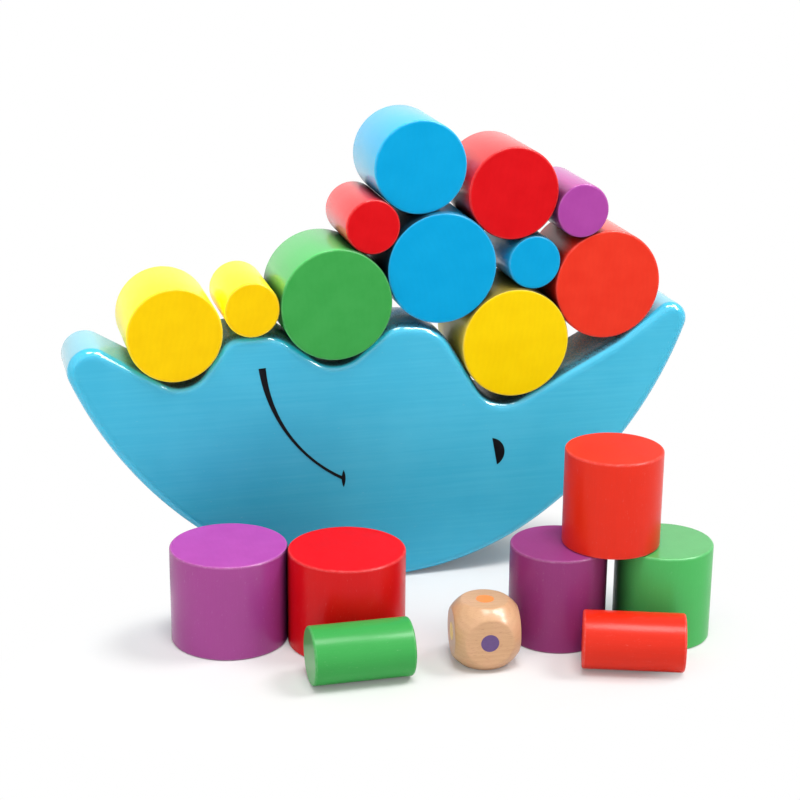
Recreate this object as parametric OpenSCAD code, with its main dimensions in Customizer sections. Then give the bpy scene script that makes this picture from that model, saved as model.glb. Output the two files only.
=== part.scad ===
// Stacking balance game in painted wood.
// A crescent moon rocks on its round back and has three hollows along its top.
// Round blocks in three diameters and six colours are stacked in the hollows,
// the rest of the blocks and a die with six coloured spots stand and lie in front.
// X runs along the moon, Y runs away from the viewer, Z is up and 0 is the table.

/* [Round blocks] */
// Diameter of the large blocks
large_d = 45; // [40:0.5:50]
// Diameter of the medium blocks
medium_d = 37.5; // [33:0.5:41]
// Diameter of the small blocks
small_d = 22; // [18:0.5:26]
// Length of every block
block_len = 38; // [30:1:48]
// Radius of the eased edge of every block
block_edge = 0.9; // [0.3:0.1:2]
// Space left between pieces that rest on each other
rest_gap = 0.05; // [0.02:0.01:0.2]

/* [Moon] */
// Thickness of the moon
moon_t = 33; // [26:1:40]
// Radius of the rounding along both edges of the moon
moon_edge = 4; // [1.5:0.5:5]
// Radius of the middle of the rocking back
rocker_r = 118.5; // [112:0.5:126]
// Half of the angle that the middle of the back spans
rocker_half = 34.6; // [30:0.2:38]
// Radius of the flatter sides of the rocking back
side_r = 163.3; // [150:0.5:180]
// Radius of the left tip
left_tip_r = 9.3; // [6:0.1:11]
// Radius of the right tip
right_tip_r = 7.2; // [6:0.1:9]

/* [Top of the moon] */
// Slope from the left tip down to the first hollow
left_slope = 30.7; // [26:0.1:36]
// Distance from the rocking point left to the lowest corner of the first hollow
hollow_1_x = 79.6; // [76:0.1:84]
// Height of that corner
hollow_1_z = 85.3; // [82:0.1:89]
// Radius at the bottom of the first hollow
hollow_1_r = 11; // [8:0.5:16]
// Distance from the rocking point left to the middle of the left hump
hump_1_x = 53.4; // [51:0.1:56]
// Width of the left hump between its two corners
hump_1_w = 20.4; // [17:0.1:24]
// Height of the left hump
hump_1_z = 107.5; // [104:0.1:111]
// Distance from the rocking point left to the lowest corner of the second hollow
hollow_2_x = 19.9; // [17:0.1:23]
// Height of that corner
hollow_2_z = 90; // [86:0.1:94]
// Radius at the bottom of the second hollow
hollow_2_r = 14; // [9:0.5:20]
// Distance from the rocking point right to the middle of the right hump
hump_2_x = 12; // [9:0.1:15]
// Width of the right hump between its two corners
hump_2_w = 19.6; // [16:0.1:23]
// Height of the right hump
hump_2_z = 107.9; // [105:0.1:111]
// Fall of the right hump from its left corner to its right corner
hump_2_fall = 1.4; // [0:0.1:4]
// Distance from the rocking point right to the lowest corner of the third hollow
hollow_3_x = 45.9; // [42:0.1:50]
// Height of that corner
hollow_3_z = 68.5; // [64:0.1:72]
// Radius at the bottom of the third hollow
hollow_3_r = 14; // [9:0.5:20]
// Distance from the rocking point right to the bend in the long right slope
bend_x = 99; // [93:0.5:104]
// Height of the bend
bend_z = 96.4; // [93:0.1:99]
// Slope from the bend up to the right tip
right_slope = 34.8; // [31:0.1:39]
// Radius of the outer corner of the left hump
hump_1_left_r = 8; // [5:0.5:12]
// Radius of the inner corner of the left hump
hump_1_right_r = 20; // [12:0.5:26]
// Radius of the inner corner of the right hump
hump_2_left_r = 13; // [7:0.5:18]
// Radius of the steep corner of the right hump
hump_2_right_r = 18; // [12:0.5:22]
// Radius of the bend
bend_r = 60; // [20:1:120]

/* [Printed face] */
// Thickness of the print on the moon
print_t = 0.15; // [0.1:0.05:0.4]
// Distance from the rocking point right to the middle of the smile's inner arc
smile_in_x = 9.9; // [4:0.1:16]
// Height of the middle of the inner arc
smile_in_z = 98.6; // [94:0.1:104]
// Radius of the inner arc
smile_in_r = 59.1; // [50:0.1:64]
// Width of the smile at its upper end
smile_w_top = 2.9; // [1.5:0.1:4.5]
// Width of the smile at its middle
smile_w_mid = 1.25; // [0.8:0.05:2.5]
// Width of the smile at its lower end
smile_w_low = 1.3; // [0.8:0.05:3]
// Direction from the inner arc's middle to the upper end of the smile
smile_from = 184; // [178:1:190]
// Direction from the inner arc's middle to the lower end of the smile
smile_to = 242.6; // [236:0.2:250]
// Length of the small tick across the lower end of the smile
tick_len = 7.4; // [5:0.1:10]
// Width of the tick at its middle
tick_w = 1.6; // [1:0.1:2.4]
// Distance from the rocking point right to the middle of the eye's arc
eye_x = 44.2; // [40:0.1:48]
// Height of the middle of the eye's arc
eye_z = 51.8; // [48:0.1:56]
// Radius of the eye's arc
eye_r = 6.3; // [5:0.1:8]
// Distance of the eye's flat side from the middle of its arc
eye_cut = 2.1; // [0:0.1:4]
// Lean of the eye's flat side
eye_lean = 11; // [0:1:25]

/* [Die] */
// Width of the die across its flat faces
die_w = 25; // [20:0.5:30]
// Radius of the ball that rounds the corners, over half the width
die_round = 2.9; // [2:0.1:4]
// Diameter of a coloured spot
spot_d = 6.8; // [4:0.1:9]
// Depth of the paint in a spot
spot_t = 0.2; // [0.1:0.05:0.5]

/* [Places on the table] */
// Distance of the large purple block left of the rocking point
purple_x = 71.8; // [66:0.1:78]
// Distance of the large purple block in front of the blocks on the moon
purple_y = 41.3; // [34:0.1:48]
// Direction from the large purple block to the large red one beside it
red_turn = -17.6; // [-30:0.1:-5]
// Shift of the small green block along the front of the large red one
green_shift = -2.7; // [-8:0.1:6]
// Distance of the two medium blocks' middle right of the rocking point
pair_x = 71.6; // [64:0.1:80]
// Distance of that middle in front of the blocks on the moon
pair_y = 71.8; // [64:0.1:80]
// Direction from the medium purple block to the medium green one
pair_turn = -10.3; // [-20:0.1:0]
// Space between the two medium blocks
pair_gap = 3.4; // [1:0.1:8]
// Shift of the medium orange block on top, along the pair
top_shift = -0.6; // [-3:0.1:3]
// Turn of the small orange block that lies in front of the pair
orange_turn = -18.9; // [-28:0.1:-8]
// Direction from the medium purple block to the nearest corner of that small orange one
orange_side = -79; // [-95:0.5:-60]
// Space between the two
orange_gap = 0.45; // [0.1:0.05:4]
// Distance of the die right of the rocking point
die_x = 17.3; // [8:0.1:22]
// Distance of the die in front of the blocks on the moon
die_y = 84.1; // [76:0.1:92]
// Turn of the die
die_turn = -6.5; // [-20:0.5:10]

/* [Hidden] */
$fn = 96;
large_r = large_d / 2;
medium_r = medium_d / 2;
small_r = small_d / 2;

// The moon's outline is a closed chain of arcs [middle x, middle z, radius, first, last, joined].
// The angles are directions of the outward normal, a hollow has a negative radius.
// A joined arc starts where the one before it ends, the others follow a straight piece.

// Direction of a vector
function dir(v) = atan2(v.y, v.x);

// Point of an arc at one normal, moved inwards by d
function on_arc(a, t, d = 0) = [a[0] + (a[2] - d) * cos(t), a[1] + (a[2] - d) * sin(t)];

// Fillet at corner q between p and s on a chain that runs with its inside on the left
function fillet(p, q, s, r) =
    let (u = (q - p) / norm(q - p), v = (s - q) / norm(s - q),
        turn = asin(u.x * v.y - u.y * v.x),
        reach = 0.47 * min(norm(q - p), norm(s - q)),
        rr = min(r, reach / tan(abs(turn) / 2)),
        k = turn > 0 ? 1 : -1,
        c = q - rr * tan(abs(turn) / 2) * u + k * rr * [-u.y, u.x])
    [c.x, c.y, k * rr, dir(u) - 90, dir(u) - 90 + turn, 0];

// Middle of a ball of radius r under the line through p with slope a, inside an arc c of radius big
function tip(p, a, r, c, big, side) =
    let (u = [side * cos(a), sin(a)],
        n = [side * sin(a), -cos(a)],
        w = p + r * n - c,
        b = w * u,
        s = -b + sqrt(b * b - w * w + (big - r) * (big - r)))
    p + r * n + s * u;

side_c = (side_r - rocker_r) * [sin(rocker_half), cos(rocker_half)] + [0, rocker_r];
side_c2 = [-side_c.x, side_c.y];
hollow_1 = [-hollow_1_x, hollow_1_z];
hump_1a = [-hump_1_x - hump_1_w / 2, hump_1_z];
hump_1b = [-hump_1_x + hump_1_w / 2, hump_1_z];
hollow_2 = [-hollow_2_x, hollow_2_z];
hump_2a = [hump_2_x - hump_2_w / 2, hump_2_z + hump_2_fall / 2];
hump_2b = [hump_2_x + hump_2_w / 2, hump_2_z - hump_2_fall / 2];
hollow_3 = [hollow_3_x, hollow_3_z];
bend = [bend_x, bend_z];
tip_l = tip(hollow_1, left_slope, left_tip_r, side_c, side_r, -1);
tip_r = tip(bend, right_slope, right_tip_r, side_c2, side_r, 1);
far_l = tip_l + left_tip_r * [sin(left_slope), cos(left_slope)];
far_r = tip_r + right_tip_r * [-sin(right_slope), cos(right_slope)];

arcs = [
    [0, rocker_r, rocker_r, -90 - rocker_half, -90 + rocker_half, 1],
    [side_c2.x, side_c2.y, side_r, -90 + rocker_half, dir(tip_r - side_c2), 1],
    [tip_r.x, tip_r.y, right_tip_r, dir(tip_r - side_c2), 90 + right_slope, 1],
    fillet(far_r, bend, hollow_3, bend_r),
    fillet(bend, hollow_3, hump_2b, hollow_3_r),
    fillet(hollow_3, hump_2b, hump_2a, hump_2_right_r),
    fillet(hump_2b, hump_2a, hollow_2, hump_2_left_r),
    fillet(hump_2a, hollow_2, hump_1b, hollow_2_r),
    fillet(hollow_2, hump_1b, hump_1a, hump_1_right_r),
    fillet(hump_1b, hump_1a, hollow_1, hump_1_left_r),
    fillet(hump_1a, hollow_1, far_l, hollow_1_r),
    [tip_l.x, tip_l.y, left_tip_r, 90 - left_slope, 360 + dir(tip_l - side_c), 0],
    [side_c.x, side_c.y, side_r, dir(tip_l - side_c), -90 - rocker_half, 1]];

// Steps along an arc that keep its chords within a few hundredths of a millimetre
function steps(a) = 2 * ceil(abs(a[4] - a[3]) / (4 * acos(1 - 0.035 / abs(a[2]))));

// Closed outline of the moon, moved inwards by d, with each shared point once
function outline(d = 0) = [for (a = arcs, i = [a[5]:steps(a)])
    on_arc(a, a[3] + (a[4] - a[3]) * i / steps(a), d)];

// Upper part of the outline that blocks can rest on
top_line = [for (a = [for (i = [2:11]) arcs[i]], i = [0:steps(a)])
    on_arc(a, a[3] + (a[4] - a[3]) * i / steps(a))];

// Height of a block's middle over a point, for a distance r
function over_point(x, r, p) = abs(x - p.x) < r ? p.y + sqrt(r * r - (x - p.x) * (x - p.x)) : -1000;

// Height of a block's middle over the inside of a straight piece of the outline
function over_line(x, r, p, q) =
    let (d = q - p, n = norm(d))
    n < 0.001 || d.x > -0.001 ? -1000 :
    let (z = p.y + (x - p.x) * d.y / d.x - r * n / d.x,
        s = ((x - p.x) * d.x + (z - p.y) * d.y) / n)
    s < 0 || s > n ? -1000 : z;

// Height at which a block of radius r at x rests on the moon and on blocks [x, z, radius]
function rest_z(x, r, blocks) = max([
    for (p = top_line) if (abs(p.x - x) < r + 3) over_point(x, r + rest_gap, p),
    for (i = [1:len(top_line) - 1]) if (min(abs(top_line[i].x - x), abs(top_line[i - 1].x - x)) < r + 3)
        over_line(x, r + rest_gap, top_line[i - 1], top_line[i]),
    for (b = blocks) over_point(x, r + b[2] + rest_gap, [b[0], b[1]]), -1000]);

// Place [x, z, radius] where a block rolls to rest between x = a and x = b
function settle(r, a, b, blocks = [], n = 30) =
    n == 0 ? [(a + b) / 2, rest_z((a + b) / 2, r, blocks), r] :
    let (m = (b - a) / 3)
    rest_z(a + m, r, blocks) < rest_z(b - m, r, blocks) - 0.0001
        ? settle(r, a, b - m, blocks, n - 1) : settle(r, a + m, b, blocks, n - 1);

// Place of a block of radius r that lies on block b and leans against block a to its left
function against(a, b, r) =
    let (w = [b[0] - a[0], b[1] - a[1]], d = norm(w), u = w / d,
        p = a[2] + r + rest_gap,
        q = b[2] + r + rest_gap,
        s = (d * d + p * p - q * q) / (2 * d),
        h = sqrt(p * p - s * s))
    [a[0] + s * u.x - h * u.y, a[1] + s * u.y + h * u.x, r];

yellow_m = settle(medium_r, tip_l.x + left_tip_r, -hump_1_x);
green_l = settle(large_r, -hump_1_x, hump_2_x);
yellow_l = settle(large_r, hump_2_x, bend_x);
yellow_s = settle(small_r, -hump_1_x - hump_1_w / 4, green_l[0] - small_r, [green_l]);
blue_l = settle(large_r, green_l[0], yellow_l[0], [green_l, yellow_l]);
orange_l = settle(large_r, yellow_l[0], tip_r.x, [yellow_l]);
blue_s = settle(small_r, yellow_l[0], orange_l[0], [yellow_l, orange_l, blue_l]);
red_m = settle(medium_r, blue_l[0], blue_s[0], [blue_l, blue_s, orange_l]);
red_s = settle(small_r, green_l[0], blue_l[0], [green_l, blue_l]);
blue_m = settle(medium_r, red_s[0], blue_l[0], [red_s, blue_l, red_m]);
purple_s = against(red_m, orange_l, small_r);

// Places on the table
large_purple = [-purple_x, -purple_y];
large_red = large_purple + (large_d + rest_gap) * [cos(red_turn), sin(red_turn)];
small_green = large_red + [green_shift, -large_r - small_r - rest_gap];
pair_c = [pair_x, -pair_y];
pair_u = [cos(pair_turn), sin(pair_turn)];
medium_purple = pair_c - (medium_d + pair_gap) / 2 * pair_u;
medium_green = pair_c + (medium_d + pair_gap) / 2 * pair_u;
medium_orange = pair_c + top_shift * pair_u;
small_orange = medium_purple + (medium_r + orange_gap) * [cos(orange_side), sin(orange_side)]
    + block_len / 2 * [cos(orange_turn), sin(orange_turn)] - small_r * [-sin(orange_turn), cos(orange_turn)];
die_c = [die_x, -die_y];

// Set-backs of the blocks' front faces on the moon, and of the moon's own face
face_y = -0.5;
yellow_m_y = -2.5;
yellow_s_y = -2;
green_l_y = -2.5;
red_s_y = 0;
blue_l_y = 0;
blue_m_y = 2.5;
red_m_y = 2;
purple_s_y = 0.5;
blue_s_y = 1;
orange_l_y = 1;
yellow_l_y = -1;

// Reach of a lying block in Y, with its eased edges
function lying_reach(a) = (block_len / 2 - block_edge) * abs(sin(a))
    + (small_r - block_edge) * abs(cos(a)) + block_edge;

// The origin is under the middle of the whole set
edge_x = [for (p = outline()) p.x];
x_min = min(min(edge_x), large_purple.x - large_r);
x_max = max(max(edge_x), medium_green.x + medium_r);
y_min = min(small_orange.y - lying_reach(orange_turn), small_green.y - small_r, die_c.y - die_w / 2 - die_round);
y_max = block_len + max(yellow_m_y, yellow_s_y, green_l_y, red_s_y, blue_l_y, blue_m_y, red_m_y,
    purple_s_y, blue_s_y, orange_l_y, yellow_l_y);
shift = -[(x_min + x_max) / 2, (y_min + y_max) / 2, 0];

// Half of a block's section with the two eased edges, turned about its axis
module block(r) {
    rotate_extrude()
        union() {
            square([r - block_edge, block_len]);
            translate([0, block_edge])
                square([r, block_len - 2 * block_edge]);
            for (z = [block_edge, block_len - block_edge])
                intersection() {
                    translate([r - block_edge, z])
                        circle(block_edge);
                    square([r + 1, block_len]);
                }
        }
}

// A block on the moon, its axis from front to back
module stacked(place, y) {
    translate(shift + [place[0], y, place[1]])
        rotate([-90, 0, 0])
            block(place[2]);
}

// A block that stands on the table, or on others
module standing(place, r, level = 0) {
    translate(shift + [place.x, place.y, level * (block_len + rest_gap)])
        block(r);
}

// A small block that lies on the table
module lying(place, a) {
    translate(shift + [place.x, place.y, small_r])
        rotate([0, 0, a])
            translate([-block_len / 2, 0, 0])
                rotate([0, 90, 0])
                    block(small_r);
}

// The moon: the outline drawn back along quarter circles at both edges
module moon_rocker() {
    k = 5;
    ring_a = [for (i = [0:k]) 90 * i / k];
    insets = concat([for (a = ring_a) moon_edge * (1 - sin(a))], [for (i = [0:k]) moon_edge * (1 - sin(ring_a[k - i]))]);
    depths = concat([for (a = ring_a) moon_edge * (1 - cos(a))],
        [for (i = [0:k]) moon_t - moon_edge * (1 - cos(ring_a[k - i]))]);
    m = len(outline());
    points = [for (j = [0:len(insets) - 1], p = outline(insets[j])) [p.x, depths[j], p.y]];
    front = [for (i = [0:m - 1]) m - 1 - i];
    back = [for (i = [0:m - 1]) (len(insets) - 1) * m + i];
    sides = [for (j = [0:len(insets) - 2], i = [0:m - 1])
        [j * m + i, j * m + (i + 1) % m, (j + 1) * m + (i + 1) % m, (j + 1) * m + i]];
    color([0.27, 0.67, 0.82])
        translate(shift + [0, face_y, 0])
            polyhedron(points, concat([front], sides, [back]));
}

// Puts a flat drawing in X and Z on the moon's front
module on_front() {
    translate(shift + [0, face_y, 0])
        rotate([90, 0, 0])
            linear_extrude(print_t)
                children();
}

// Circle [x, z, radius] through three points
function round_by(a, b, c) =
    let (u = b - a, v = c - a, k = 2 * (u.x * v.y - u.y * v.x),
        m = [v.y * (u * u) - u.y * (v * v), u.x * (v * v) - v.x * (u * u)] / k)
    [a.x + m.x, a.y + m.y, norm(m)];

// The smile lies between two arcs, the outer one passes its width at both ends and in the middle
module smile_print() {
    inner = [smile_in_x, smile_in_z, smile_in_r];
    far = 2 * smile_in_r;
    outer = round_by(on_arc(inner, smile_from, -smile_w_top),
        on_arc(inner, (smile_from + smile_to) / 2, -smile_w_mid),
        on_arc(inner, smile_to, -smile_w_low));
    low = on_arc(inner, smile_to, -smile_w_low / 2);
    end_r = (tick_len * tick_len / 4 + tick_w * tick_w / 4) / tick_w;
    color([0.08, 0.08, 0.09])
        on_front()
            union() {
                intersection() {
                    difference() {
                        translate([outer[0], outer[1]])
                            circle(outer[2], $fn = 240);
                        translate([smile_in_x, smile_in_z])
                            circle(smile_in_r, $fn = 240);
                    }
                    translate([smile_in_x, smile_in_z])
                        polygon([[0, 0], far * [cos(smile_from), sin(smile_from)],
                            far * [cos(smile_to), sin(smile_to)]]);
                }
                translate([low.x, low.y])
                    intersection() {
                        translate([end_r - tick_w / 2, 0])
                            circle(end_r);
                        translate([tick_w / 2 - end_r, 0])
                            circle(end_r);
                    }
            }
}

module eye_print() {
    color([0.08, 0.08, 0.09])
        on_front()
            translate([eye_x, eye_z])
                rotate(eye_lean)
                    intersection() {
                        circle(eye_r);
                        translate([eye_cut, -eye_r - 1])
                            square([eye_r + 1, 2 * eye_r + 2]);
                    }
}

module medium_yellow_block() color([0.96, 0.79, 0.02]) stacked(yellow_m, yellow_m_y);
module small_yellow_block() color([0.96, 0.81, 0.02]) stacked(yellow_s, yellow_s_y);
module large_green_block() color([0.25, 0.65, 0.31]) stacked(green_l, green_l_y);
module small_red_block() color([0.85, 0.07, 0.11]) stacked(red_s, red_s_y);
module large_blue_block() color([0.02, 0.66, 0.87]) stacked(blue_l, blue_l_y);
module medium_blue_block() color([0.02, 0.65, 0.87]) stacked(blue_m, blue_m_y);
module medium_red_block() color([0.87, 0.06, 0.09]) stacked(red_m, red_m_y);
module small_purple_block() color([0.7, 0.3, 0.63]) stacked(purple_s, purple_s_y);
module small_blue_block() color([0.02, 0.66, 0.87]) stacked(blue_s, blue_s_y);
module large_orange_block() color([0.92, 0.23, 0.15]) stacked(orange_l, orange_l_y);
module large_yellow_block() color([0.97, 0.83, 0.02]) stacked(yellow_l, yellow_l_y);
module large_purple_block() color([0.7, 0.3, 0.7]) standing(large_purple, large_r);
module large_red_block() color([0.9, 0.06, 0.15]) standing(large_red, large_r);
module medium_purple_block() color([0.7, 0.3, 0.7]) standing(medium_purple, medium_r);
module medium_green_block() color([0.25, 0.65, 0.31]) standing(medium_green, medium_r);
module medium_orange_block() color([0.92, 0.23, 0.15]) standing(medium_orange, medium_r, 1);
module small_green_block() color([0.25, 0.65, 0.31]) lying(small_green, 0);
module small_orange_block() color([0.92, 0.23, 0.15]) lying(small_orange, orange_turn);

// Puts something on one face of the die, its outside up
module on_die(turn) {
    translate(shift + [die_c.x, die_c.y, die_w / 2])
        rotate([0, 0, die_turn])
            rotate(turn)
                children();
}

// The space of one spot under a face of the die
module spot(turn) {
    on_die(turn)
        translate([0, 0, die_w / 2 - spot_t])
            cylinder(h = spot_t, d = spot_d);
}

top_face = [0, 0, 0];
front_face = [90, 0, 0];
left_face = [0, -90, 0];
right_face = [0, 90, 0];
back_face = [-90, 0, 0];
under_face = [180, 0, 0];

// A cube with its corners rounded by a ball, and a shallow seat for each spot
module wooden_die() {
    color([0.85, 0.68, 0.52])
        difference() {
            on_die(top_face)
                intersection() {
                    cube(die_w, center = true);
                    sphere(die_w / 2 + die_round);
                }
            for (f = [top_face, front_face, left_face, right_face, back_face, under_face])
                on_die(f)
                    translate([0, 0, die_w / 2 - spot_t])
                        cylinder(h = 1, d = spot_d);
        }
}

module orange_spot() color([0.95, 0.35, 0.1]) spot(top_face);
module purple_spot() color([0.6, 0.25, 0.6]) spot(front_face);
module yellow_spot() color([0.96, 0.8, 0.02]) spot(left_face);
module red_spot() color([0.87, 0.06, 0.09]) spot(right_face);
module blue_spot() color([0.02, 0.65, 0.87]) spot(back_face);
module green_spot() color([0.25, 0.65, 0.31]) spot(under_face);

moon_rocker();
smile_print();
eye_print();
medium_yellow_block();
small_yellow_block();
large_green_block();
small_red_block();
large_blue_block();
medium_blue_block();
medium_red_block();
small_purple_block();
small_blue_block();
large_orange_block();
large_yellow_block();
large_purple_block();
large_red_block();
small_green_block();
medium_purple_block();
medium_green_block();
medium_orange_block();
small_orange_block();
wooden_die();
orange_spot();
purple_spot();
yellow_spot();
red_spot();
blue_spot();
green_spot();
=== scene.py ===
# %% [markdown]
# # A stacking balance game in painted wood
# This lesson dresses a measured model of the game: a moon that rocks on its round back,
# eighteen round blocks stacked on it and set out in front of it, and a wooden die.
# The measured solids are loaded first. Each piece that is modelled here sits exactly
# where its solid is, so nothing has to be fitted by eye. The scene is in metres, and MM
# turns a number of millimetres into metres.

# %% Load the measured solids
import math

import bmesh
import bpy
from mathutils import Matrix, Vector


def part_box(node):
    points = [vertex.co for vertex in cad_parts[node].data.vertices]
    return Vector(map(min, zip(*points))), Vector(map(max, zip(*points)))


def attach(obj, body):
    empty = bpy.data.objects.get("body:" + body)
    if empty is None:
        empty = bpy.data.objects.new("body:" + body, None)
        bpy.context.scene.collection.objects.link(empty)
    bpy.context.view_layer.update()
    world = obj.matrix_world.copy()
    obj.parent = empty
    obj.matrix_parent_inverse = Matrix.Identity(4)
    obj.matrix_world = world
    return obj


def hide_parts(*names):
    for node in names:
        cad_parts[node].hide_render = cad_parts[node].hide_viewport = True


MM = 0.001
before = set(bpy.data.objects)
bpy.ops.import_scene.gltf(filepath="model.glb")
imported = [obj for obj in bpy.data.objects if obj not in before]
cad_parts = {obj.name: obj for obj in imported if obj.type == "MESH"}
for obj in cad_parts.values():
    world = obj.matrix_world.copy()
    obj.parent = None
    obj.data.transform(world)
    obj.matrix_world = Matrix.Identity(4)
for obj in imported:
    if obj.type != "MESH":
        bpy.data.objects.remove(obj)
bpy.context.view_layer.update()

# %% [markdown]
# ## The camera
# The photograph was taken from a little left of the middle and from above, with a long lens.
# A camera is placed by where it stands and by three directions: what is right, what is up
# and what is ahead. The small roll tilts the picture by half a degree, as in the photograph.

# %% Place the camera
TURN, DOWN, ROLL = math.radians(14.672), math.radians(17.924), math.radians(-0.577)
STAND = Vector((-0.18129, -0.66968, 0.31432))
# The lens in pixels of a picture that is 800 pixels wide, and a film's usual width
PIXELS, PICTURE, FILM = 1910.0, 800.0, 36.0

ahead = Vector((math.sin(TURN) * math.cos(DOWN), math.cos(TURN) * math.cos(DOWN), -math.sin(DOWN)))
right = Vector((math.cos(TURN), -math.sin(TURN), 0.0))
below = ahead.cross(right)
rolled_right = right * math.cos(ROLL) + below * math.sin(ROLL)
rolled_below = below * math.cos(ROLL) - right * math.sin(ROLL)

camera = bpy.data.objects.new("camera", bpy.data.cameras.new("camera"))
bpy.context.scene.collection.objects.link(camera)
axes = Matrix((rolled_right, -rolled_below, -ahead)).transposed()
camera.matrix_world = Matrix.Translation(STAND) @ axes.to_4x4()
camera.data.sensor_width = FILM
camera.data.lens = PIXELS / PICTURE * FILM
camera.data.clip_start = 0.01
bpy.context.scene.camera = camera
bpy.context.scene.view_settings.view_transform = "Standard"
print("lens", round(camera.data.lens, 2), "mm")

# %% [markdown]
# ## Sums on sockets
# A finish is a graph of nodes. Written as Python sums it stays readable, so one small class
# wraps a socket and gives it the signs of arithmetic. Each sum adds a Math node.
# Every other node comes from one method, which sets the node up before it is linked.


# %% A socket that can be reckoned with
class Wire:
    """One output socket of a graph, with the signs of arithmetic."""

    def __init__(self, graph, socket):
        self.graph, self.socket = graph, socket

    def __add__(self, other):
        return self.graph.math("ADD", self, other)

    def __radd__(self, other):
        return self.graph.math("ADD", other, self)

    def __sub__(self, other):
        return self.graph.math("SUBTRACT", self, other)

    def __rsub__(self, other):
        return self.graph.math("SUBTRACT", other, self)

    def __mul__(self, other):
        return self.graph.math("MULTIPLY", self, other)

    def __rmul__(self, other):
        return self.graph.math("MULTIPLY", other, self)

    def __abs__(self):
        return self.graph.math("ABSOLUTE", self)


print("sums on sockets ready")


# %% A graph of nodes
class Graph:
    """The nodes of a material or of the room. node() adds any node, the others common groups."""

    def __init__(self, tree):
        self.tree = tree

    def node(self, kind, settings, values, out=0):
        """Adds a node, sets it up, links or sets its inputs and gives one of its outputs."""
        node = self.tree.nodes.new(kind)
        for key, value in settings.items():
            setattr(node, key, value)
        for key, value in values.items():
            if isinstance(value, Wire):
                self.tree.links.new(value.socket, node.inputs[key])
            else:
                node.inputs[key].default_value = value
        return Wire(self, node.outputs[out])

    def math(self, operation, *values):
        return self.node("ShaderNodeMath", {"operation": operation}, dict(enumerate(values)))

    def soft_step(self, value, low, high):
        """0 below low, 1 above high, smooth between."""
        return self.node("ShaderNodeMapRange", {"interpolation_type": "SMOOTHSTEP"},
                         {"Value": value, "From Min": low, "From Max": high})

    def blend(self, amount, a, b):
        """Colour a where amount is 0, colour b where it is 1."""
        return self.node("ShaderNodeMix", {"data_type": "RGBA"}, {0: amount, 6: a, 7: b}, out=2)

    def noise(self, at, scale, detail, rough, out="Fac"):
        """Random clouds around 0.5, finer with a larger scale."""
        return self.node("ShaderNodeTexNoise", {}, {"Vector": at, "Scale": scale, "Detail": detail,
                                                    "Roughness": rough}, out=out)

    def vector(self, operation, a, b):
        return self.node("ShaderNodeVectorMath", {"operation": operation}, {0: a, 1: b})

    def stretch(self, at, factors):
        """Coordinates times factors: a pattern grows long where its factor is small."""
        return self.vector("MULTIPLY", at, factors)

    def times(self, colour, tone):
        """A colour made darker below a tone of 1 and brighter above it."""
        return self.node("ShaderNodeVectorMath", {"operation": "SCALE"}, {0: colour, "Scale": tone})

    def length(self, at):
        return self.node("ShaderNodeVectorMath", {"operation": "LENGTH"}, {0: at}, out="Value")

    def across(self, a, b):
        """How far away a point is whose distances along two axes are a and b."""
        return self.math("SQRT", a * a + b * b)

    def wave(self, phase):
        """Rises and falls between 0 and 1."""
        return self.math("SINE", phase) * 0.5 + 0.5

    def parts(self, at):
        """The x, y and z of coordinates."""
        split = self.node("ShaderNodeSeparateXYZ", {}, {"Vector": at})
        return [Wire(self, socket) for socket in split.socket.node.outputs]


print("graph of nodes ready")


# %% A finish
class Finish(Graph):
    """One material, whose patterns lie on Object coordinates, in millimetres."""

    def __init__(self, name):
        self.material = bpy.data.materials.new(name)
        self.material.use_nodes = True
        super().__init__(self.material.node_tree)
        self.shader = self.tree.nodes["Principled BSDF"]
        self.place = self.node("ShaderNodeTexCoord", {}, {}, out="Object")

    def local(self, middle=(0.0, 0.0, 0.0), turn=(0.0, 0.0, 0.0)):
        """Coordinates in millimetres about a piece's own middle and axes."""
        return self.node("ShaderNodeMapping", {"vector_type": "TEXTURE"},
                         {"Vector": self.place, "Location": middle, "Rotation": turn,
                          "Scale": (MM, MM, MM)})

    def finish(self, **sockets):
        """Sets or links the shader's sockets and gives the material."""
        for name, value in sockets.items():
            socket = self.shader.inputs[name.replace("_", " ")]
            if isinstance(value, Wire):
                self.tree.links.new(value.socket, socket)
            else:
                socket.default_value = value
        return self.material

    def bump(self, height, strength, distance):
        return self.node("ShaderNodeBump", {}, {"Height": height, "Strength": strength,
                                                "Distance": distance}, out="Normal")


def shade(red, green, blue):
    """A colour from screen values between 0 and 255, made linear as a shader wants it."""
    def one(v):
        v = v / 255.0
        return v / 12.92 if v <= 0.04045 else ((v + 0.055) / 1.055) ** 2.4
    return (one(red), one(green), one(blue), 1.0)


print("finishes ready")

# %% [markdown]
# ## Painted wood
# The blocks are cut from turned dowels, so the grain runs along their axis: fine streaks on
# the round side, and on the sawn ends the faint arcs of the year rings with a sprinkle of
# pores. The paint is thin. It fills most of the grain, levels unevenly, and is worn paler
# along the eased rims. The ends are mostly dull, and the round sides have a clear coat over
# them. Where two blocks meet side to side, painted shade makes the side nearly black and
# takes away its shine, which gives the pile its deep gaps. Lengths are in millimetres in the
# pattern, so the numbers below can be compared with a ruler.

# %% The grain of a dowel
LENGTH = 38.0
HALF_LENGTH = LENGTH / 2


def year_rings(f, at, seed):
    """The arcs on the ends, about a heart that lies outside the dowel."""
    heart = f.vector("ADD", at, (19.0 + 7.0 * seed, -31.0, 0.0))
    flat = f.stretch(heart, (1.0, 1.0, 0.0))
    return f.wave(f.length(flat) * 2.6 + f.noise(flat, 0.12, 3.0, 0.5) * 14.0)


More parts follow.
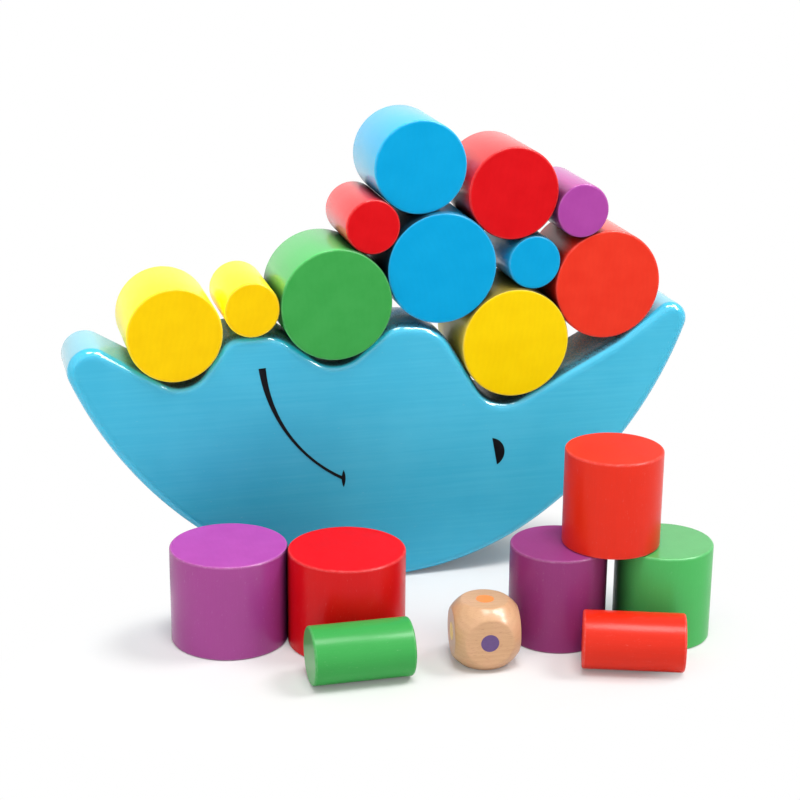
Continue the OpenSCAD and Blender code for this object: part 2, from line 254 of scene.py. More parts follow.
def shade_beside_blocks(f, x, y, touching):
    """1 where painted shade darkens the side: close to one contact with another block or between two.
    """
    close = 0.0
    for beside, above, reach in touching:
        close = 1.0 - f.soft_step(f.across(x - beside, y - above), 2.0, reach) + close
    return f.soft_step(close, 0.5, 1.2)


def specks(f, at):
    """Dust under the paint, in a loose net of fine lines."""
    net = f.node("ShaderNodeTexVoronoi", {"feature": "DISTANCE_TO_EDGE"},
                 {"Vector": at, "Scale": 0.5}, out="Distance")
    return f.soft_step(net * -1.0 + f.noise(at, 2.1, 2.0, 0.8), 0.66, 0.72)


print("dowels of", LENGTH, "mm")


# %% The blocks' paint
def block_paint(name, shades, place, radius, seed, looks, touching):
    """Paint for one block, whose own z runs along its axis.

    shades are the end, its thin places and the side, looks the side's painted light (below 1 it
    is painted shade), the gloss of side and end and the wear. touching lists the contacts' x, y
    and reach of their painted shade.
    """
    colour, pale, side = shades
    side_light, gloss, end_gloss, wear = looks
    f = Finish(name)
    at = f.local(*place)
    x, y, z = f.parts(at)
    moved = f.vector("ADD", at, (seed * 37.0, seed * 11.0, 0.0))
    end = f.soft_step(abs(z), HALF_LENGTH - 0.35, HALF_LENGTH - 0.1)
    near_end = f.soft_step(abs(z), HALF_LENGTH - 1.1, HALF_LENGTH - 0.7)
    rim = near_end * f.soft_step(f.across(x, y), radius - 1.0, radius - 0.6)

    # Grain: long thin streaks along the side, year rings and pores on the ends
    streak = f.noise(f.stretch(moved, (2.4, 2.4, 0.06)), 1.0, 4.0, 0.6)
    fibre = f.noise(f.stretch(moved, (7.0, 7.0, 0.25)), 1.0, 2.0, 0.6)
    rings = year_rings(f, moved, seed)
    pores = f.soft_step(f.noise(f.stretch(moved, (3.6, 3.6, 0.4)), 1.0, 2.0, 0.7), 0.62, 0.74)
    grain = streak * (1.0 - end) + rings * end
    # Where the paint has levelled thick or thin
    cloud = f.noise(moved, 0.11, 3.0, 0.55)
    peel = f.noise(moved, 1.1, 2.0, 0.5)

    tone = (cloud - 0.5) * 0.07 + (grain - 0.5) * (0.09 - 0.077 * end) - pores * end * 0.03
    # The side's painted light: a factor above 1 brightens the round side, below 1 it darkens it as
    # painted shade; the ends stay at 1
    tone = tone + side_light + end * (1.0 - side_light)
    body = f.blend(f.soft_step(cloud, 0.3, 0.7) * 0.25, colour, pale)
    body = f.times(f.blend(end, side, body), tone)

    # Wear: paler rims, scuffs along the side and specks of dust
    patchy = f.soft_step(f.noise(f.stretch(moved, (0.55, 0.55, 1.5)), 1.0, 3.0, 0.75), 0.40, 0.72)
    worn = rim * (0.35 + patchy)
    scuff = f.soft_step(f.noise(f.stretch(moved, (1.5, 1.5, 0.5)), 1.0, 5.0, 0.75), 0.60, 0.70)
    bare = worn * wear + scuff * (1.0 - end) * wear * 0.9 + specks(f, moved) * 0.05
    tint = tuple(0.6 * c + 0.4 for c in pale[:3]) + (1.0,)
    body = f.blend(bare, body, tint)

    # The clear coat, and painted shade: the side dark and dull where other blocks touch
    coat = gloss + (end_gloss - gloss) * end
    if touching:
        shaded = shade_beside_blocks(f, x, y, touching) * (1.0 - end)
        body = f.blend(shaded * 0.96, body, shade(18, 19, 25))
        coat = coat * (1.0 - shaded * 0.85)

    height = fibre * (1.0 - end) * 0.5 + rings * end * 0.05 - pores * end * 0.25
    height = height + peel * 0.35 - worn * 0.1
    rough = 0.33 + (cloud - 0.5) * 0.16 + (fibre - 0.5) * 0.10 + end * 0.10 + worn * 0.15
    return f.finish(Base_Color=body, Roughness=rough, Normal=f.bump(height, 0.55, 0.00006),
                    Specular_IOR_Level=0.06, Coat_Weight=coat, Coat_Roughness=0.24)


print("block paint ready")

# %% [markdown]
# ## One block
# A block starts as a circle. It is filled, drawn out to its length and its two rims are
# bevelled, which is how a sanded edge looks: a narrow round band that catches the light.
# The ends are then inset by a hair, so that the flat face keeps its own flat shading.

# %% Build one block from a circle
EASE, HAIR = 0.9 * MM, 0.3 * MM
STEPS_AROUND, STEPS_OVER = 128, 6


def smooth_piece(name, bm):
    """A piece with soft shading, made of what has been modelled."""
    for face in bm.faces:
        face.smooth = True
    mesh = bpy.data.meshes.new(name)
    bm.to_mesh(mesh)
    bm.free()
    piece = bpy.data.objects.new(name, mesh)
    bpy.context.scene.collection.objects.link(piece)
    return piece


def make_block(name, radius, middle, turn):
    """A round block about its own z axis, then turned and moved inside its mesh."""
    bm = bmesh.new()
    bmesh.ops.create_circle(bm, cap_ends=True, segments=STEPS_AROUND, radius=radius)
    base = bm.faces[:]
    grown = bmesh.ops.extrude_face_region(bm, geom=base)
    top = [v for v in grown["geom"] if isinstance(v, bmesh.types.BMVert)]
    bmesh.ops.translate(bm, vec=(0, 0, LENGTH * MM), verts=top)
    bmesh.ops.translate(bm, vec=(0, 0, -HALF_LENGTH * MM), verts=bm.verts[:])
    bmesh.ops.recalc_face_normals(bm, faces=bm.faces[:])
    rims = [e for e in bm.edges if abs(e.verts[0].co.z - e.verts[1].co.z) < 1e-6]
    bmesh.ops.bevel(bm, geom=rims, offset=EASE, offset_type="OFFSET", segments=STEPS_OVER,
                    profile=0.5, affect="EDGES", material=-1, clamp_overlap=True)
    ends = [face for face in bm.faces if len(face.verts) > 8]
    bmesh.ops.inset_region(bm, faces=ends, thickness=HAIR, depth=0.0)
    bmesh.ops.transform(bm, matrix=Matrix.Translation(middle) @ turn.to_4x4(), verts=bm.verts[:])
    return smooth_piece(name, bm)


print("rims eased by", round(EASE / MM, 2), "mm")

# %% [markdown]
# ## All eighteen blocks
# Each solid's box tells where its block is. Most blocks on the table stand upright, two lie
# on their sides, and those on the moon point from front to back. Each colour has three
# shades: the flat end, the places on it where the paint is thin, and the round side. Three
# blocks have shades of their own that hold painted light and shade, and a few have glossier
# ends. The sides of the stacked blocks are brightened with painted light, except on two deep
# in the pile, whose sides get painted shade, as do those of the blocks on the table.

# %% Colours of the set
PAINTS = {
    "yellow": (shade(246, 204, 0), shade(252, 218, 8), shade(250, 226, 4)),
    "green": (shade(60, 164, 76), shade(78, 178, 92), shade(64, 178, 84)),
    "red": (shade(218, 10, 20), shade(232, 26, 34), shade(224, 8, 12)),
    "blue": (shade(0, 165, 223), shade(18, 176, 228), shade(2, 172, 224)),
    "purple": (shade(172, 70, 164), shade(186, 86, 178), shade(168, 64, 148)),
    "orange": (shade(236, 54, 34), shade(242, 72, 48), shade(240, 46, 20)),
}
# Three blocks' own shades hold painted light and shade: the medium green brighter, the medium purple
# darker, the large yellow's end brighter and its side duller
PAINTED_LIGHT_SHADES = {
    "medium_purple": (shade(154, 62, 132), shade(162, 72, 142), shade(150, 56, 122)),
    "medium_green": (shade(66, 170, 84), shade(84, 184, 100), shade(80, 192, 100)),
    "large_yellow": (shade(250, 214, 0), shade(253, 224, 6), shade(226, 198, 74)),
}
print("paints:", ", ".join(PAINTS), "and", len(PAINTED_LIGHT_SHADES), "from another pot")

# %% How the blocks shine
# The side's painted light (above 1 brighter, below 1 painted shade), the gloss of the sides, and how
# worn a block is
STACKED, SET_DOWN = (1.3, 0.9, 0.10), (0.85, 0.28, 0.12)
# Painted shade on the sides of two blocks deep in the pile and of the two lying blocks
OTHER_SIDE_LIGHT = {"large_yellow_block": 0.85, "small_blue_block": 0.85,
              "small_green_block": 0.76, "small_orange_block": 0.76}
OTHER_GLOSS = {"large_yellow_block": 0.4, "medium_yellow_block": 0.4, "small_yellow_block": 0.4,
               "large_purple_block": 0.7}
GLOSSY_ENDS = {"medium_green_block": 1.0, "small_green_block": 0.7, "large_purple_block": 0.15}
print("blocks with glossy ends:", len(GLOSSY_ENDS))

# %% Find where the blocks lie and touch
ACROSS = Matrix.Rotation(math.radians(-90), 3, "X")
UPRIGHT = Matrix.Identity(3)
LYING = {"small_green_block": 0.0, "small_orange_block": -18.9}
ON_TABLE = ["large_purple_block", "large_red_block", "medium_purple_block",
            "medium_green_block", "medium_orange_block"]
RADII = {"large": 22.5 * MM, "medium": 18.75 * MM, "small": 11.0 * MM}
# How far a contact's painted shade reaches, and how far apart two blocks may be and still get it
SHADE_REACH, OTHER_REACH = 19.0, {"large_orange_block": 15.0}
NEAR_IN_PILE, NEAR_ON_TABLE = 1.0 * MM, 4.0 * MM
blocks = sorted(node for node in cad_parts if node.endswith("_block"))
middles = {node: sum((Vector(corner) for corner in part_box(node)), Vector()) / 2 for node in blocks}


def turn_of(node):
    """The turn that takes a block's own z to its axis."""
    if node in LYING:
        on_its_side = Matrix.Rotation(math.radians(90), 3, "Y")
        return Matrix.Rotation(math.radians(LYING[node]), 3, "Z") @ on_its_side
    return UPRIGHT if node in ON_TABLE else ACROSS


def contacts(node):
    """Where a block's side meets others: x and y in its own axes and a reach, in millimetres."""
    found = []
    own = RADII[node.split("_")[0]]
    wide = OTHER_REACH.get(node, SHADE_REACH)
    nearby = NEAR_ON_TABLE if node in ON_TABLE else NEAR_IN_PILE
    for other in blocks:
        reach = turn_of(node).inverted() @ (middles[other] - middles[node])
        apart = reach.xy.length - own - RADII[other.split("_")[0]]
        side_by_side = turn_of(other) == turn_of(node) and abs(reach.z) < HALF_LENGTH * MM
        if other != node and side_by_side and apart < nearby:
            found.append((*(reach.xy.normalized() * own / MM), wide + 2.5 * apart / MM))
    return found


print("blocks:", len(blocks), "contacts:", sum(len(contacts(node)) for node in blocks) // 2)

# %% Place and paint the blocks
for number, node in enumerate(blocks):
    middle, turn = middles[node], turn_of(node)
    size, colour = node.split("_")[:2]
    piece = make_block(node.replace("_block", "_painted_block"), RADII[size], middle, turn)
    side_light, gloss, wear = SET_DOWN if node in LYING or node in ON_TABLE else STACKED
    looks = (OTHER_SIDE_LIGHT.get(node, side_light), OTHER_GLOSS.get(node, gloss), GLOSSY_ENDS.get(node, 0.0), wear)
    shades = PAINTED_LIGHT_SHADES.get(f"{size}_{colour}", PAINTS[colour])
    paint = block_paint(f"{size}_{colour}_paint", shades, (middle, turn.to_euler()),
                        RADII[size] / MM, number + 1.0, looks, contacts(node))
    piece.data.materials.append(paint)
    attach(piece, "root")
    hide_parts(node)
print("painted:", len(blocks), "blocks")

# %% [markdown]
# ## The moon's outline
# The moon is sawn from a board, so its shape is one outline with a thickness. The outline is
# a chain of arcs: the wide rocking back, its two flatter sides, two tips, three hollows and
# the corners between them. Each arc is drawn by spinning one point about the arc's middle,
# and straight edges join one arc to the next. All numbers are in millimetres from the point
# where the moon touches the table.

# %% Corners of the outline, and the arcs that round them
ROCKER, HALF, SIDE = 118.5, math.radians(34.6), 163.3
LEFT_SLOPE, RIGHT_SLOPE = math.radians(30.7), math.radians(34.8)
LEFT_TIP, RIGHT_TIP = 9.3, 7.2
HOLLOW_1, HUMP_1A, HUMP_1B = Vector((-79.6, 85.3)), Vector((-63.6, 107.5)), Vector((-43.2, 107.5))
HOLLOW_2, HUMP_2A, HUMP_2B = Vector((-19.9, 90.0)), Vector((2.2, 108.6)), Vector((21.8, 107.2))
HOLLOW_3, BEND = Vector((45.9, 68.5)), Vector((99.0, 96.4))
# The corners along the top from right to left, each with the radius that rounds it
TOP = [(BEND, 60.0), (HOLLOW_3, 14.0), (HUMP_2B, 18.0), (HUMP_2A, 13.0),
       (HOLLOW_2, 14.0), (HUMP_1B, 20.0), (HUMP_1A, 8.0), (HOLLOW_1, 11.0)]


def tip_middle(corner, slope, radius, middle, side):
    """Middle of the ball that fits under a slope and inside the side of the rocking back."""
    along = Vector((side * math.cos(slope), math.sin(slope)))
    inward = Vector((side * math.sin(slope), -math.cos(slope)))
    from_side = corner + radius * inward - middle
    half = from_side.dot(along)
    reach = -half + math.sqrt(half * half - from_side.dot(from_side) + (SIDE - radius) ** 2)
    return corner + radius * inward + reach * along


side_left = Vector(((SIDE - ROCKER) * math.sin(HALF), (SIDE - ROCKER) * math.cos(HALF) + ROCKER))
side_right = Vector((-side_left.x, side_left.y))
tip_left = tip_middle(HOLLOW_1, LEFT_SLOPE, LEFT_TIP, side_left, -1)
tip_right = tip_middle(BEND, RIGHT_SLOPE, RIGHT_TIP, side_right, 1)
print("tips:", [round(v, 2) for v in (*tip_left, *tip_right)])


# %% Arcs as middle, first point, angle
def direction(v):
    return math.atan2(v.y, v.x)


def round_corner(before, corner, after, radius):
    """The arc that rounds a corner, as (middle, first point, angle)."""
    u, v = (corner - before).normalized(), (after - corner).normalized()
    turn = math.asin(u.x * v.y - u.y * v.x)
    cut = radius * math.tan(abs(turn) / 2)
    side = Vector((-u.y, u.x)) * (radius if turn > 0 else -radius)
    return corner - cut * u + side, corner - cut * u, turn


def arc_at(middle, radius, first, last):
    """The arc about a middle between two directions, as (middle, first point, angle)."""
    return middle, middle + radius * Vector((math.cos(first), math.sin(first))), last - first


DOWN_ANGLE = math.radians(-90)
left_end = direction(tip_left - side_left)
right_end = direction(tip_right - side_right)
above_left = tip_left + LEFT_TIP * Vector((math.sin(LEFT_SLOPE), math.cos(LEFT_SLOPE)))
above_right = tip_right + RIGHT_TIP * Vector((-math.sin(RIGHT_SLOPE), math.cos(RIGHT_SLOPE)))
stops = [above_right] + [corner for corner, radius in TOP] + [above_left]
arcs = [
    arc_at(Vector((0.0, ROCKER)), ROCKER, DOWN_ANGLE - HALF, DOWN_ANGLE + HALF),
    arc_at(side_right, SIDE, DOWN_ANGLE + HALF, right_end),
    arc_at(tip_right, RIGHT_TIP, right_end, math.radians(90) + RIGHT_SLOPE),
    *(round_corner(before, corner, after, radius)
      for before, (corner, radius), after in zip(stops, TOP, stops[2:])),
    arc_at(tip_left, LEFT_TIP, math.radians(90) - LEFT_SLOPE, left_end + math.radians(360)),
    arc_at(side_left, SIDE, left_end, DOWN_ANGLE - HALF),
]
print("arcs:", len(arcs))

# %% [markdown]
# ## The moon's body
# The outline is filled, drawn back to the board's thickness and both long edges are bevelled
# by 4 mm with nine steps, which gives the soft rounded edge that shines along the hollows.
# A narrow inset keeps the flat faces flat in the shading.

# %% Draw the outline and give it its thickness
moon_low, moon_high = (Vector(c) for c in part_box("moon_rocker"))
THICK = (moon_high.y - moon_low.y) / MM
LEAST_X = tip_left.x - LEFT_TIP
# How deep a chord may lie inside its arc
CHORD = 0.012

bm = bmesh.new()
chain = []
for middle, first, angle in arcs:
    start = bm.verts.new((first.x, 0.0, first.y))
    radius = (first - middle).length
    steps = max(6, math.ceil(abs(angle) / (2 * math.acos(1 - CHORD / radius))))
    before = set(bm.verts)
    bmesh.ops.spin(bm, geom=[start], cent=(middle.x, 0.0, middle.y), axis=(0, -1, 0), dvec=(0, 0, 0),
                   angle=angle, steps=steps, use_merge=False, use_duplicate=False)
    chain.append([start] + [v for v in bm.verts if v not in before])
for ends, starts in zip(chain, chain[1:] + chain[:1]):
    if (ends[-1].co - starts[0].co).length > 0.01:
        bm.edges.new((ends[-1], starts[0]))
bmesh.ops.remove_doubles(bm, verts=bm.verts[:], dist=0.005)
print("outline points:", len(bm.verts), "edges:", len(bm.edges))

# %% Fill, thicken and round the moon
EDGE, EDGE_STEPS = 4.0, 9
bmesh.ops.contextual_create(bm, geom=bm.edges[:])
grown = bmesh.ops.extrude_face_region(bm, geom=bm.faces[:])
far_side = [v for v in grown["geom"] if isinstance(v, bmesh.types.BMVert)]
bmesh.ops.translate(bm, vec=(0, THICK, 0), verts=far_side)
bmesh.ops.recalc_face_normals(bm, faces=bm.faces[:])
long_edges = [e for e in bm.edges if abs(e.verts[0].co.y - e.verts[1].co.y) < 1e-6]
bmesh.ops.bevel(bm, geom=long_edges, offset=EDGE, offset_type="OFFSET", segments=EDGE_STEPS,
                profile=0.5, affect="EDGES", material=-1, clamp_overlap=False)
flats = [face for face in bm.faces if len(face.verts) > 8]
bmesh.ops.inset_region(bm, faces=flats, thickness=HAIR / MM, depth=0.0)
to_place = Matrix.Translation((moon_low.x - LEAST_X * MM, moon_low.y, 0.0)) @ Matrix.Scale(MM, 4)
bmesh.ops.transform(bm, matrix=to_place, verts=bm.verts[:])
moon = smooth_piece("painted_moon", bm)
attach(moon, "root")
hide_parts("moon_rocker")
print("moon faces:", len(moon.data.polygons))

# %% [markdown]
# ## The moon's paint
# The board's grain runs along the moon. Under the thin sky blue it shows as faint level
# streaks on the faces. Painted shade darkens the faces low on the left, and painted light
# brightens them towards the upper right. The rounded edge between face and sawn band is
# painted a brighter cyan as painted light, and is glossier, with a fine ripple that breaks up
# its shine. The sawn band drinks more paint and stays rougher, with short fibres standing up.
# On top it reaches further over the rounded edge: painted shade makes it nearly black along
# its front, then it is a dull grey crossed by curled hairs, and a painted reflection makes it
# pale on the middle hump. Its tips are smooth and painted pale as a painted reflection, and
# painted shade darkens the bottoms of the three hollows under the blocks.

# %% Where the moon's paint changes
FACE = THICK / 2
MIDDLE_HUMP = (HUMP_2A.x + HUMP_2B.x) / 2
centre = (moon_low + moon_high) / 2
f = Finish("moon_paint")
at = f.local(centre)
x, y, z = f.parts(at)
tips = f.soft_step(abs(x), 98.0, 118.0)
band_top = f.soft_step(z, 2.0, 12.0) * (1.0 - tips)
hump = band_top * (1.0 - f.soft_step(abs(x - MIDDLE_HUMP), 12.0, 26.0)) * f.soft_step(y, -12.0, 2.0)
brow = band_top * (1.0 - f.soft_step(y, 3.5 - FACE, 8.0 - FACE))
brink = FACE - EDGE - 0.2 + band_top * 2.2
sawn = 1.0 - f.soft_step(abs(y), brink, brink + 1.0)
rounded = f.soft_step(abs(y), brink, brink + 1.2) * (1.0 - f.soft_step(abs(y), FACE - 0.45, FACE))
print("middle hump at", round(MIDDLE_HUMP, 1), "mm, faces at", round(FACE, 2), "mm")

# %% Grain and colour of the moon's faces
streak = f.noise(f.stretch(at, (0.022, 1.0, 0.9)), 1.0, 5.0, 0.62)
fine = f.noise(f.stretch(at, (0.12, 3.0, 3.2)), 1.0, 3.0, 0.6)
cloud = f.noise(at, 0.028, 3.0, 0.5)
peel = f.noise(at, 0.9, 2.0, 0.5)
fuzz = f.noise(f.stretch(at, (0.9, 0.35, 0.9)), 1.6, 5.0, 0.72)
pits = f.soft_step(f.noise(f.stretch(at, (0.5, 1.5, 1.8)), 1.0, 2.0, 0.7), 0.70, 0.78)
# Painted shade: the faces are made darker around a spot low on the left
low_left = f.vector("ADD", at, (60.0, 0.0, 24.0))
pool = f.length(f.stretch(low_left, (0.6, 0.0, 1.0)))
tone = 1.07 + (streak - 0.5) * 0.035 + (fine - 0.5) * 0.04 + (cloud - 0.5) * 0.10
tone = tone - (1.0 - f.soft_step(pool, 0.0, 72.0)) * 0.26
# Painted light: the faces are made brighter towards the upper right
tone = tone + f.soft_step(x * 0.5 + z, -10.0, 50.0) * 0.08
deep, thin = shade(64, 178, 213), shade(92, 195, 222)
colour = f.blend(f.soft_step(streak * 0.5 + cloud * 0.5, 0.38, 0.64) * 0.3, deep, thin)
colour = f.times(colour, tone)
colour = f.blend(pits * (1.0 - rounded) * 0.14, colour, shade(214, 234, 240))
# Painted light: the rounded edge is painted a brighter cyan
colour = f.blend(rounded * 0.85, colour, shade(26, 192, 232))
print("grain of the moon ready")

# %% The sawn band
scratch = f.blend(band_top, shade(60, 104, 118), shade(118, 114, 112))
# Painted reflection: the top of the middle hump is painted pale
scratch = f.blend(hump, scratch, shade(236, 230, 224))
# Painted shade: the front of the band's top is painted nearly black
scratch = f.blend(brow * 0.85, scratch, shade(30, 40, 48))
scratchy = (0.10 + band_top * 0.22 + hump * 0.5) * (1.0 - tips)
scratchy = scratchy + f.soft_step(fuzz, 0.48, 0.62) * (0.32 - tips * 0.30)
scratchy = scratchy + brow * 0.35
colour = f.blend(sawn * scratchy, colour, scratch)
curls = f.noise(f.stretch(at, (1.0, 0.7, 1.0)), 0.9, 2.0, 0.6)
hairs = (1.0 - f.soft_step(abs(curls - 0.5), 0.01, 0.05)) * sawn * (band_top - brow)
colour = f.blend(hairs * (0.55 - hump * 0.55), colour, shade(206, 196, 178))
colour = f.blend(hairs * hump * 0.7, colour, shade(70, 66, 78))
# Painted reflection: the sawn band is painted pale at the tips
colour = f.blend(sawn * tips * 0.5, colour, shade(158, 218, 226))
print("sawn band ready")

# %% Painted shade in the hollows
in_outline = Vector(((centre.x - moon_low.x) / MM + LEAST_X, centre.z / MM))
inside = 1.0 - f.soft_step(abs(y), FACE - 1.9, FACE - 0.9)
HOLLOWS = (HOLLOW_1, HOLLOW_2, HOLLOW_3)
# Painted shade: the bottoms of the hollows, under the blocks, are painted dark
for hollow in HOLLOWS:
    beside, above = hollow - in_outline
    shaded = (1.0 - f.soft_step(f.across(x - beside, z - above), 9.0, 21.0)) * inside
    colour = f.blend(shaded * (0.55 + fuzz * 0.5), colour, shade(24, 34, 40))
print("hollows rubbed:", len(HOLLOWS))

# %% Relief and shine of the moon
glint = f.noise(at, 1.5, 3.0, 0.7)
shine = 1.0 - (band_top - hump) * 0.9 - hairs * hump * 0.6
height = streak * 0.12 + fine * 0.25 + peel * 0.35 - pits * 0.5
height = height + sawn * fuzz * 2.6 + rounded * glint * 7.5
rough = 0.36 + (cloud - 0.5) * 0.14 + (fine - 0.5) * 0.08 + sawn * (fuzz - 0.35) * 0.35
coat = 0.04 + (sawn * shine + rounded) * 0.9
moon_paint = f.finish(Base_Color=colour, Roughness=rough, Normal=f.bump(height, 0.5, 0.00008),
                      Specular_IOR_Level=0.08, Coat_Weight=coat, Coat_Roughness=0.14, Coat_IOR=1.7)
moon.data.materials.append(moon_paint)
print("moon painted")

# %% [markdown]
# ## The printed face
# The smile, its small tick and the eye are printed on the moon in black. The solids already
# have their true outline and a print's thickness, so they only need ink: nearly black,
# a little bluish where it is thin, and with the fine tooth of the paint under it.

# %% Ink for the print
f = Finish("black_ink")
at = f.local()
tooth = f.noise(at, 2.2, 3.0, 0.6)
patch = f.noise(at, 0.35, 2.0, 0.5)
ink = f.blend(f.soft_step(patch * 0.7 + tooth * 0.3, 0.45, 0.7), shade(16, 16, 20), shade(28, 29, 36))
ink_material = f.finish(Base_Color=ink, Roughness=0.46 + (tooth - 0.5) * 0.2,
                        Normal=f.bump(tooth, 0.4, 0.00003), Specular_IOR_Level=0.06)
for node in ("smile_print", "eye_print"):
    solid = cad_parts[node]
    solid.data.materials.clear()
    solid.data.materials.append(ink_material)
print("ink on", "smile_print", "eye_print")

# %% [markdown]
# ## The die
# The die is a cube whose corners were rounded by a ball, so each face is a flat disc with a
# soft rim. A cube is cut into a fine grid, and each of its points is then drawn in towards
# the middle until it lies on the ball or stays on the cube, whichever is nearer, with a
# small blend where the two meet.

# %% Shape the die from a fine cube
die_low, die_high = (Vector(c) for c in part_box("wooden_die"))
die_middle = (die_low + die_high) / 2
DIE_ANGLE = math.radians(-6.5)
# Half the cube, the radius of the ball and the width of the blend between them
FLAT, BALL, SOFT = 12.47, 15.4, 0.32
CUTS = 71

bm = bmesh.new()
bmesh.ops.create_cube(bm, size=2 * FLAT)
bmesh.ops.subdivide_edges(bm, edges=bm.edges[:], cuts=CUTS, use_grid_fill=True)
for v in bm.verts:
    to_cube = v.co.length
    near = max(SOFT - abs(to_cube - BALL), 0.0) / SOFT
    v.co *= (min(to_cube, BALL) - near * near * SOFT / 4) / to_cube
bmesh.ops.recalc_face_normals(bm, faces=bm.faces[:])
turned = Matrix.Rotation(DIE_ANGLE, 4, "Z") @ Matrix.Scale(MM, 4)
bmesh.ops.transform(bm, matrix=Matrix.Translation(die_middle) @ turned, verts=bm.verts[:])
die = smooth_piece("bare_wood_die", bm)
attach(die, "root")
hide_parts("wooden_die")
print("die faces:", len(die.data.polygons))

# %% [markdown]
# ## Bare wood
# The die is left unpainted under a thin clear coat. Its grain runs from side to side: long
# fibres with short darker dashes, bands of year rings that curve where the ball cuts
# through them, and a warm, slightly rosy tan.

# %% Bare wood for the die
f = Finish("bare_wood")
at = f.local(die_middle, (0.0, 0.0, DIE_ANGLE))
straight = f.vector("ADD", f.stretch(at, (0.07, 1.0, 1.0)), (3.0, 14.0, -22.0))
warp = f.noise(straight, 0.16, 2.0, 0.5, out="Color")
rings = f.wave(f.length(f.vector("ADD", f.stretch(warp, (3.0, 3.0, 3.0)), straight)) * 3.4)
fibre = f.noise(f.stretch(at, (0.16, 2.6, 2.6)), 1.0, 4.0, 0.65)
dash = f.soft_step(f.noise(f.stretch(at, (0.55, 4.2, 4.2)), 1.0, 2.0, 0.7), 0.60, 0.70)
cloud = f.noise(at, 0.12, 2.0, 0.5)
wood = f.blend(rings * 0.12 + fibre * 0.6, shade(216, 174, 134), shade(184, 136, 98))
wood = f.blend(f.soft_step(cloud, 0.4, 0.7) * 0.35, wood, shade(214, 164, 132))
wood = f.blend(dash * 0.4, wood, shade(150, 100, 68))
height = fibre * 0.5 - dash * 0.6 + rings * 0.1
rough = 0.36 + (fibre - 0.5) * 0.16 + dash * 0.12
bare_wood = f.finish(Base_Color=wood, Roughness=rough, Normal=f.bump(height, 0.5, 0.00005),
                     Specular_IOR_Level=0.15, Coat_Weight=0.4, Coat_Roughness=0.18)
die.data.materials.append(bare_wood)
print("die in bare wood")

# %% [markdown]
# ## The spots
# Each face of the die has one round spot of paint. The solids are flat discs that end level
# with the faces. The paint is thin enough that the grain under it stays visible as a faint
# unevenness, and it is a little darker where it pooled.

# %% Paint the spots
SPOTS = {"orange": shade(246, 142, 60), "purple": shade(92, 62, 122), "yellow": shade(246, 214, 60),
         "red": shade(214, 40, 44), "blue": shade(30, 150, 206), "green": shade(66, 160, 84)}
for colour, value in SPOTS.items():
    f = Finish(f"{colour}_spot_paint")
    at = f.local(die_middle, (0.0, 0.0, DIE_ANGLE))
    fibre = f.noise(f.stretch(at, (0.3, 2.6, 2.6)), 1.0, 3.0, 0.6)
    pool = f.noise(at, 0.5, 2.0, 0.5)
    darker = tuple(0.82 * c for c in value[:3]) + (1.0,)
    body = f.blend(f.soft_step(pool * 0.6 + fibre * 0.4, 0.42, 0.66) * 0.6, value, darker)
    rough = 0.40 + (fibre - 0.5) * 0.2
    spot_paint = f.finish(Base_Color=body, Roughness=rough, Normal=f.bump(fibre, 0.4, 0.00003),
                          IOR=1.5, Coat_Weight=0.2, Coat_Roughness=0.2)
    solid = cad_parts[f"{colour}_spot"]
    solid.data.materials.clear()
    solid.data.materials.append(spot_paint)
print("spots:", ", ".join(SPOTS))

# %% [markdown]
# ## The table and the light
# The game stands on a white sweep. A light from overhead brightens the tops, one from the
# right throws short shadows to the left, a weak wide one on the left softens them, and a
# very wide one from the front lights the faces. Three more make a strip on the right that
# only shows as shine, along edges that fall to the right. A white room, dim and a little
# warm where it lights and plain white where it is seen, fills the rest. Close to the blocks
# on the table, and where the moon stands, the table shows its true light and shadow.
# Further out more and more of what the camera sees of it is an even white glow, as on a
# lit sweep, so the picture's edges are white.

# %% A white table
TABLE_SIZE = 9.0
floor_mesh = bpy.data.meshes.new("table")
bm = bmesh.new()
bmesh.ops.create_grid(bm, x_segments=1, y_segments=1, size=TABLE_SIZE)
bm.to_mesh(floor_mesh)
bm.free()
floor = bpy.data.objects.new("table", floor_mesh)
bpy.context.scene.collection.objects.link(floor)
print("table:", 2 * TABLE_SIZE, "m across")

# %% The table's shade and glow
f = Finish("white_table")
f.finish(Base_Color=(0.69, 0.69, 0.69, 1.0), Roughness=0.7, Specular_IOR_Level=0.1)
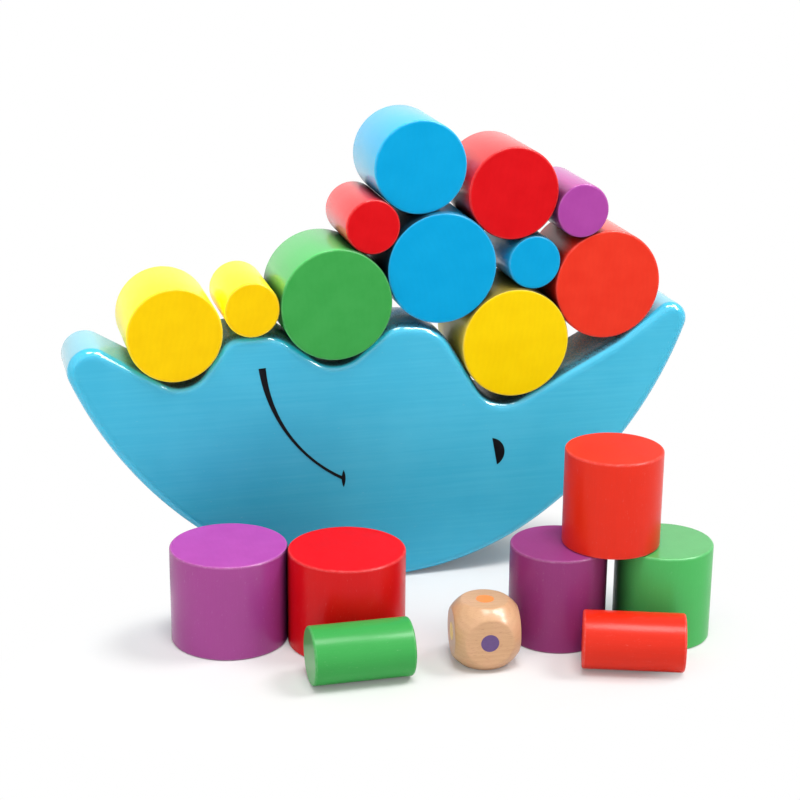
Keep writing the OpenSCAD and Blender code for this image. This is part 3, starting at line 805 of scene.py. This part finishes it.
# Two areas of true light: the middle in metres, then in millimetres where the glow starts
# and where it is full, and how much narrower the area is from front to back
BLOCKS_AREA = ((-0.015, -0.030, 0.0), 112.0, 155.0, 2.0)
MOON_AREA = ((0.035, 0.055, 0.0), 40.0, 80.0, 1.3)
LEAST_GLOW = 0.12
share = 1.0
for middle, start, full, narrow in (BLOCKS_AREA, MOON_AREA):
    x, y, z = f.parts(f.local(middle))
    share = f.soft_step(f.across(x, y * narrow), start, full) * share
share = LEAST_GLOW + share * (1.0 - LEAST_GLOW)
ray = f.node("ShaderNodeLightPath", {}, {}, out="Is Camera Ray")
glow = f.node("ShaderNodeEmission", {}, {"Color": (1.0, 1.0, 1.0, 1.0), "Strength": 1.0})
plain = Wire(f, f.shader.outputs[0])
shown = f.node("ShaderNodeMixShader", {}, {0: ray * share, 1: plain, 2: glow})
f.tree.links.new(shown.socket, f.tree.nodes["Material Output"].inputs["Surface"])
floor.data.materials.append(f.material)
print("table painted")


# %% Lights
def soft_light(name, aside, height, strength, width):
    """A far, wide light. aside is counted from the front to the right, all angles in degrees."""
    lamp = bpy.data.lights.new(name, "SUN")
    lamp.energy, lamp.angle = strength, math.radians(width)
    holder = bpy.data.objects.new(name, lamp)
    bpy.context.scene.collection.objects.link(holder)
    aside, height = math.radians(aside), math.radians(height)
    toward = Vector((math.sin(aside), -math.cos(aside), 0.0)) * math.cos(height)
    toward.z = math.sin(height)
    holder.location = toward
    holder.rotation_euler = toward.to_track_quat("Z", "Y").to_euler()
    return holder


LIGHTS = {
    "overhead_light": (0.0, 76.0, 1.85, 22.0),
    "right_light": (84.0, 55.0, 1.40, 20.0),
    "left_light": (-85.0, 35.0, 0.45, 70.0),
    "front_light": (-10.0, 22.0, 0.88, 90.0),
}
STRIP = ((54.0, 60.0), (65.0, 46.0), (54.0, 31.0))
STRIP_STRENGTH, STRIP_WIDTH = 1.6, 16.0
for name, settings in LIGHTS.items():
    soft_light(name, *settings)
for number, (aside, height) in enumerate(STRIP):
    strip = soft_light(f"strip_light_{number + 1}", aside, height, STRIP_STRENGTH, STRIP_WIDTH)
    strip.visible_diffuse = False
print("lights:", len(LIGHTS) + len(STRIP))

# %% A white room
DIM = 0.35
world = bpy.data.worlds.new("white_room")
bpy.context.scene.world = world
world.use_nodes = True
room = Graph(world.node_tree)
rays = [room.node("ShaderNodeLightPath", {}, {}, out=f"Is {kind} Ray")
        for kind in ("Camera", "Glossy", "Transmission")]
seen = room.math("MAXIMUM", rays[0], room.math("MAXIMUM", rays[1], rays[2]))
level = DIM + (1.0 - DIM) * seen
back = room.tree.nodes["Background"]
tint = room.blend(seen, (1.0, 0.97, 0.93, 1.0), (1.0, 1.0, 1.0, 1.0))
room.tree.links.new(tint.socket, back.inputs["Color"])
room.tree.links.new(level.socket, back.inputs["Strength"])
print("room lights with", DIM)
